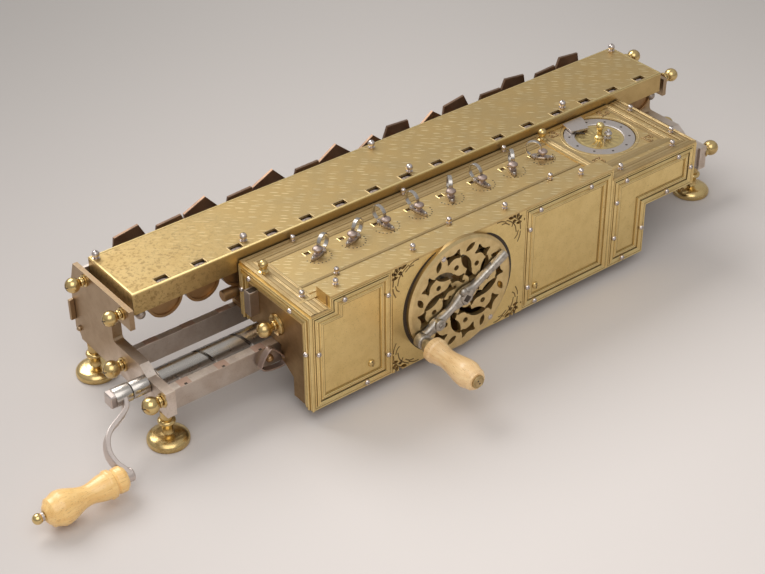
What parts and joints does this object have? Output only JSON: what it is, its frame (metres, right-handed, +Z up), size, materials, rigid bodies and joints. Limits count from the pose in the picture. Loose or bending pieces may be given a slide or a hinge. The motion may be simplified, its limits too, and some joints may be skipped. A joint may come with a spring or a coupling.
{
  "type": "stepped drum calculator",
  "caption": "Brass stepped drum calculating machine with a sliding input carriage, setting dials, hand cranks, lead screw and a covered row of result wheels.",
  "frame": {"origin": "centre of the bounding box, on the table under the feet", "axes": "+X along the machine towards its right end, +Y from the main crank towards the register, +Z up"},
  "size_m": [0.8545, 0.3044, 0.1397],
  "materials": {
    "frame_steel": "warm grey filed steel, worn",
    "rail_steel": "brushed steel with dull streaks",
    "turned_brass": "turned and polished brass",
    "cover_brass": "aged lacquered brass with scuffs",
    "bright_steel": "bright turned steel",
    "beech": "turned and oiled beech",
    "maple": "turned and oiled maple",
    "case_brass": "aged sheet brass",
    "top_brass": "aged sheet brass with short scuffs",
    "panel_brass": "brushed brass panels and mouldings",
    "dial_steel": "dull grey-brown steel",
    "wheel_bronze": "dark bronze with pale digit band",
    "pentagon_bronze": "dark patinated bronze plate",
    "drum_brass": "cut and turned brass"
  },
  "bodies": {
    "frame": {"end_plates": "frame_steel", "frame_bars": "rail_steel", "feet_and_ball_screws": "turned_brass", "register_cover": "cover_brass"},
    "carriage": {"carriage_case": "case_brass", "carriage_top": "top_brass", "front_panels": "panel_brass"},
    "lead_screw": {"lead_screw": "bright_steel"},
    "lead_grip": {"lead_grip": "beech"},
    "main_crank": {"main_crank": "bright_steel"},
    "main_grip": {"main_grip": "maple"},
    "multiplier_dial": {"multiplier_dial": "dial_steel"},
    "drive_shaft": {"drive_shaft": "bright_steel"},
    "setting_dial_1": {"setting_dial_1": "dial_steel"},
    "setting_dial_2": {"setting_dial_2": "dial_steel"},
    "setting_dial_3": {"setting_dial_3": "dial_steel"},
    "setting_dial_4": {"setting_dial_4": "dial_steel"},
    "setting_dial_5": {"setting_dial_5": "dial_steel"},
    "setting_dial_6": {"setting_dial_6": "dial_steel"},
    "setting_dial_7": {"setting_dial_7": "dial_steel"},
    "setting_dial_8": {"setting_dial_8": "dial_steel"},
    "stepped_drum_1": {"stepped_drum_1": "drum_brass"},
    "stepped_drum_2": {"stepped_drum_2": "drum_brass"},
    "stepped_drum_3": {"stepped_drum_3": "drum_brass"},
    "stepped_drum_4": {"stepped_drum_4": "drum_brass"},
    "stepped_drum_5": {"stepped_drum_5": "drum_brass"},
    "stepped_drum_6": {"stepped_drum_6": "drum_brass"},
    "stepped_drum_7": {"stepped_drum_7": "drum_brass"},
    "stepped_drum_8": {"stepped_drum_8": "drum_brass"},
    "digit_wheel_1": {"digit_wheel_1": "wheel_bronze"},
    "digit_wheel_2": {"digit_wheel_2": "wheel_bronze"},
    "digit_wheel_3": {"digit_wheel_3": "wheel_bronze"},
    "digit_wheel_4": {"digit_wheel_4": "wheel_bronze"},
    "digit_wheel_5": {"digit_wheel_5": "wheel_bronze"},
    "digit_wheel_6": {"digit_wheel_6": "wheel_bronze"},
    "digit_wheel_7": {"digit_wheel_7": "wheel_bronze"},
    "digit_wheel_8": {"digit_wheel_8": "wheel_bronze"},
    "digit_wheel_9": {"digit_wheel_9": "wheel_bronze"},
    "digit_wheel_10": {"digit_wheel_10": "wheel_bronze"},
    "digit_wheel_11": {"digit_wheel_11": "wheel_bronze"},
    "digit_wheel_12": {"digit_wheel_12": "wheel_bronze"},
    "digit_wheel_13": {"digit_wheel_13": "wheel_bronze"},
    "digit_wheel_14": {"digit_wheel_14": "wheel_bronze"},
    "digit_wheel_15": {"digit_wheel_15": "wheel_bronze"},
    "digit_wheel_16": {"digit_wheel_16": "wheel_bronze"},
    "carry_pentagon_1": {"carry_pentagon_1": "pentagon_bronze"},
    "carry_pentagon_2": {"carry_pentagon_2": "pentagon_bronze"},
    "carry_pentagon_3": {"carry_pentagon_3": "pentagon_bronze"},
    "carry_pentagon_4": {"carry_pentagon_4": "pentagon_bronze"},
    "carry_pentagon_5": {"carry_pentagon_5": "pentagon_bronze"},
    "carry_pentagon_6": {"carry_pentagon_6": "pentagon_bronze"},
    "carry_pentagon_7": {"carry_pentagon_7": "pentagon_bronze"},
    "carry_pentagon_8": {"carry_pentagon_8": "pentagon_bronze"},
    "carry_pentagon_9": {"carry_pentagon_9": "pentagon_bronze"},
    "carry_pentagon_10": {"carry_pentagon_10": "pentagon_bronze"},
    "carry_pentagon_11": {"carry_pentagon_11": "pentagon_bronze"},
    "carry_pentagon_12": {"carry_pentagon_12": "pentagon_bronze"},
    "carry_pentagon_13": {"carry_pentagon_13": "pentagon_bronze"},
    "carry_pentagon_14": {"carry_pentagon_14": "pentagon_bronze"},
    "carry_pentagon_15": {"carry_pentagon_15": "pentagon_bronze"}
  },
  "joints": [
    {"name": "carriage_slide", "type": "slide", "parent": "frame", "child": "carriage", "axis": [1, 0, 0], "range_m": [-0.08, 0.04]},
    {"name": "crank_turn", "type": "hinge", "parent": "carriage", "child": "main_crank", "pos_m": [0.01115, 0.05215, 0.0735], "axis": [0, 1, 0], "continuous": true},
    {"name": "main_grip_spin", "type": "hinge", "parent": "main_crank", "child": "main_grip", "pos_m": [-0.04006, 0.05215, 0.04627], "axis": [0, 1, 0], "continuous": true},
    {"name": "lead_grip_spin", "type": "hinge", "parent": "lead_screw", "child": "lead_grip", "pos_m": [0.06115, -0.03487, 0.01924], "axis": [1, 0, 0], "continuous": true},
    {"name": "multiplier_turn", "type": "hinge", "parent": "carriage", "child": "multiplier_dial", "pos_m": [0.25965, 0.00915, 0], "axis": [0, 0, 1], "range_deg": [0, 324]},
    {"name": "dial_1_turn", "type": "hinge", "parent": "carriage", "child": "setting_dial_1", "pos_m": [-0.09585, 0.01315, 0], "axis": [0, 0, 1], "range_deg": [0, 324]},
    {"name": "dial_2_turn", "type": "hinge", "parent": "carriage", "child": "setting_dial_2", "pos_m": [-0.05585, 0.01315, 0], "axis": [0, 0, 1], "range_deg": [0, 324]},
    {"name": "dial_3_turn", "type": "hinge", "parent": "carriage", "child": "setting_dial_3", "pos_m": [-0.01585, 0.01315, 0], "axis": [0, 0, 1], "range_deg": [-72, 252]},
    {"name": "dial_4_turn", "type": "hinge", "parent": "carriage", "child": "setting_dial_4", "pos_m": [0.02415, 0.01315, 0], "axis": [0, 0, 1], "range_deg": [-72, 252]},
    {"name": "dial_5_turn", "type": "hinge", "parent": "carriage", "child": "setting_dial_5", "pos_m": [0.06415, 0.01315, 0], "axis": [0, 0, 1], "range_deg": [-36, 288]},
    {"name": "dial_6_turn", "type": "hinge", "parent": "carriage", "child": "setting_dial_6", "pos_m": [0.10415, 0.01315, 0], "axis": [0, 0, 1], "range_deg": [-72, 252]},
    {"name": "dial_7_turn", "type": "hinge", "parent": "carriage", "child": "setting_dial_7", "pos_m": [0.14415, 0.01315, 0], "axis": [0, 0, 1], "range_deg": [-36, 288]},
    {"name": "dial_8_turn", "type": "hinge", "parent": "carriage", "child": "setting_dial_8", "pos_m": [0.18415, 0.01315, 0], "axis": [0, 0, 1], "range_deg": [-108, 216]},
    {"name": "digit_1_turn", "type": "hinge", "parent": "frame", "child": "digit_wheel_1", "pos_m": [-0.23585, 0.05215, 0.111], "axis": [0, 1, 0], "continuous": true},
    {"name": "digit_2_turn", "type": "hinge", "parent": "frame", "child": "digit_wheel_2", "pos_m": [-0.19585, 0.05215, 0.111], "axis": [0, 1, 0], "continuous": true},
    {"name": "digit_3_turn", "type": "hinge", "parent": "frame", "child": "digit_wheel_3", "pos_m": [-0.15585, 0.05215, 0.111], "axis": [0, 1, 0], "continuous": true},
    {"name": "digit_4_turn", "type": "hinge", "parent": "frame", "child": "digit_wheel_4", "pos_m": [-0.11585, 0.05215, 0.111], "axis": [0, 1, 0], "continuous": true},
    {"name": "digit_5_turn", "type": "hinge", "parent": "frame", "child": "digit_wheel_5", "pos_m": [-0.07585, 0.05215, 0.111], "axis": [0, 1, 0], "continuous": true},
    {"name": "digit_6_turn", "type": "hinge", "parent": "frame", "child": "digit_wheel_6", "pos_m": [-0.03585, 0.05215, 0.111], "axis": [0, 1, 0], "continuous": true},
    {"name": "digit_7_turn", "type": "hinge", "parent": "frame", "child": "digit_wheel_7", "pos_m": [0.00415, 0.05215, 0.111], "axis": [0, 1, 0], "continuous": true},
    {"name": "digit_8_turn", "type": "hinge", "parent": "frame", "child": "digit_wheel_8", "pos_m": [0.04415, 0.05215, 0.111], "axis": [0, 1, 0], "continuous": true},
    {"name": "digit_9_turn", "type": "hinge", "parent": "frame", "child": "digit_wheel_9", "pos_m": [0.08415, 0.05215, 0.111], "axis": [0, 1, 0], "continuous": true},
    {"name": "digit_10_turn", "type": "hinge", "parent": "frame", "child": "digit_wheel_10", "pos_m": [0.12415, 0.05215, 0.111], "axis": [0, 1, 0], "continuous": true},
    {"name": "digit_11_turn", "type": "hinge", "parent": "frame", "child": "digit_wheel_11", "pos_m": [0.16415, 0.05215, 0.111], "axis": [0, 1, 0], "continuous": true},
    {"name": "digit_12_turn", "type": "hinge", "parent": "frame", "child": "digit_wheel_12", "pos_m": [0.20415, 0.05215, 0.111], "axis": [0, 1, 0], "continuous": true},
    {"name": "digit_13_turn", "type": "hinge", "parent": "frame", "child": "digit_wheel_13", "pos_m": [0.24415, 0.05215, 0.111], "axis": [0, 1, 0], "continuous": true},
    {"name": "digit_14_turn", "type": "hinge", "parent": "frame", "child": "digit_wheel_14", "pos_m": [0.28415, 0.05215, 0.111], "axis": [0, 1, 0], "continuous": true},
    {"name": "digit_15_turn", "type": "hinge", "parent": "frame", "child": "digit_wheel_15", "pos_m": [0.32415, 0.05215, 0.111], "axis": [0, 1, 0], "continuous": true},
    {"name": "digit_16_turn", "type": "hinge", "parent": "frame", "child": "digit_wheel_16", "pos_m": [0.36415, 0.05215, 0.111], "axis": [0, 1, 0], "continuous": true},
    {"name": "pentagon_1_turn", "type": "hinge", "parent": "frame", "child": "carry_pentagon_1", "pos_m": [-0.21585, 0.05215, 0.111], "axis": [0, 1, 0], "continuous": true},
    {"name": "pentagon_2_turn", "type": "hinge", "parent": "frame", "child": "carry_pentagon_2", "pos_m": [-0.17585, 0.05215, 0.111], "axis": [0, 1, 0], "continuous": true},
    {"name": "pentagon_3_turn", "type": "hinge", "parent": "frame", "child": "carry_pentagon_3", "pos_m": [-0.13585, 0.05215, 0.111], "axis": [0, 1, 0], "continuous": true},
    {"name": "pentagon_4_turn", "type": "hinge", "parent": "frame", "child": "carry_pentagon_4", "pos_m": [-0.09585, 0.05215, 0.111], "axis": [0, 1, 0], "continuous": true},
    {"name": "pentagon_5_turn", "type": "hinge", "parent": "frame", "child": "carry_pentagon_5", "pos_m": [-0.05585, 0.05215, 0.111], "axis": [0, 1, 0], "continuous": true},
    {"name": "pentagon_6_turn", "type": "hinge", "parent": "frame", "child": "carry_pentagon_6", "pos_m": [-0.01585, 0.05215, 0.111], "axis": [0, 1, 0], "continuous": true},
    {"name": "pentagon_7_turn", "type": "hinge", "parent": "frame", "child": "carry_pentagon_7", "pos_m": [0.02415, 0.05215, 0.111], "axis": [0, 1, 0], "continuous": true},
    {"name": "pentagon_8_turn", "type": "hinge", "parent": "frame", "child": "carry_pentagon_8", "pos_m": [0.06415, 0.05215, 0.111], "axis": [0, 1, 0], "continuous": true},
    {"name": "pentagon_9_turn", "type": "hinge", "parent": "frame", "child": "carry_pentagon_9", "pos_m": [0.10415, 0.05215, 0.111], "axis": [0, 1, 0], "continuous": true},
    {"name": "pentagon_10_turn", "type": "hinge", "parent": "frame", "child": "carry_pentagon_10", "pos_m": [0.14415, 0.05215, 0.111], "axis": [0, 1, 0], "continuous": true},
    {"name": "pentagon_11_turn", "type": "hinge", "parent": "frame", "child": "carry_pentagon_11", "pos_m": [0.18415, 0.05215, 0.111], "axis": [0, 1, 0], "continuous": true},
    {"name": "pentagon_12_turn", "type": "hinge", "parent": "frame", "child": "carry_pentagon_12", "pos_m": [0.22415, 0.05215, 0.111], "axis": [0, 1, 0], "continuous": true},
    {"name": "pentagon_13_turn", "type": "hinge", "parent": "frame", "child": "carry_pentagon_13", "pos_m": [0.26415, 0.05215, 0.111], "axis": [0, 1, 0], "continuous": true},
    {"name": "pentagon_14_turn", "type": "hinge", "parent": "frame", "child": "carry_pentagon_14", "pos_m": [0.30415, 0.05215, 0.111], "axis": [0, 1, 0], "continuous": true},
    {"name": "pentagon_15_turn", "type": "hinge", "parent": "frame", "child": "carry_pentagon_15", "pos_m": [0.34415, 0.05215, 0.111], "axis": [0, 1, 0], "continuous": true},
    {"name": "lead_screw_turn", "type": "hinge", "parent": "frame", "child": "lead_screw", "pos_m": [0.06115, 0.02365, 0.0558], "axis": [1, 0, 0], "range_deg": [-361, 721]},
    {"name": "drum_1_turn", "type": "hinge", "parent": "carriage", "child": "stepped_drum_1", "pos_m": [-0.07585, 0.05215, 0.1], "axis": [0, 1, 0], "continuous": true},
    {"name": "drum_2_turn", "type": "hinge", "parent": "carriage", "child": "stepped_drum_2", "pos_m": [-0.03585, 0.05215, 0.1], "axis": [0, 1, 0], "continuous": true},
    {"name": "drum_3_turn", "type": "hinge", "parent": "carriage", "child": "stepped_drum_3", "pos_m": [0.00415, 0.05215, 0.1], "axis": [0, 1, 0], "continuous": true},
    {"name": "drum_4_turn", "type": "hinge", "parent": "carriage", "child": "stepped_drum_4", "pos_m": [0.04415, 0.05215, 0.1], "axis": [0, 1, 0], "continuous": true},
    {"name": "drum_5_turn", "type": "hinge", "parent": "carriage", "child": "stepped_drum_5", "pos_m": [0.08415, 0.05215, 0.1], "axis": [0, 1, 0], "continuous": true},
    {"name": "drum_6_turn", "type": "hinge", "parent": "carriage", "child": "stepped_drum_6", "pos_m": [0.12415, 0.05215, 0.1], "axis": [0, 1, 0], "continuous": true},
    {"name": "drum_7_turn", "type": "hinge", "parent": "carriage", "child": "stepped_drum_7", "pos_m": [0.16415, 0.05215, 0.1], "axis": [0, 1, 0], "continuous": true},
    {"name": "drum_8_turn", "type": "hinge", "parent": "carriage", "child": "stepped_drum_8", "pos_m": [0.20415, 0.05215, 0.1], "axis": [0, 1, 0], "continuous": true},
    {"name": "drive_shaft_turn", "type": "hinge", "parent": "carriage", "child": "drive_shaft", "pos_m": [0.06115, -0.04512, 0.1], "axis": [1, 0, 0], "continuous": true}
  ],
  "couplings": [
    {"joint": "lead_screw_turn", "follows": "carriage_slide", "rad_per_m": -157.08},
    {"joint": "drum_1_turn", "follows": "crank_turn", "ratio": -1},
    {"joint": "drum_2_turn", "follows": "crank_turn", "ratio": -1},
    {"joint": "drum_3_turn", "follows": "crank_turn", "ratio": -1},
    {"joint": "drum_4_turn", "follows": "crank_turn", "ratio": -1},
    {"joint": "drum_5_turn", "follows": "crank_turn", "ratio": -1},
    {"joint": "drum_6_turn", "follows": "crank_turn", "ratio": -1},
    {"joint": "drum_7_turn", "follows": "crank_turn", "ratio": -1},
    {"joint": "drum_8_turn", "follows": "crank_turn", "ratio": -1},
    {"joint": "drive_shaft_turn", "follows": "crank_turn", "ratio": -1}
  ]
}
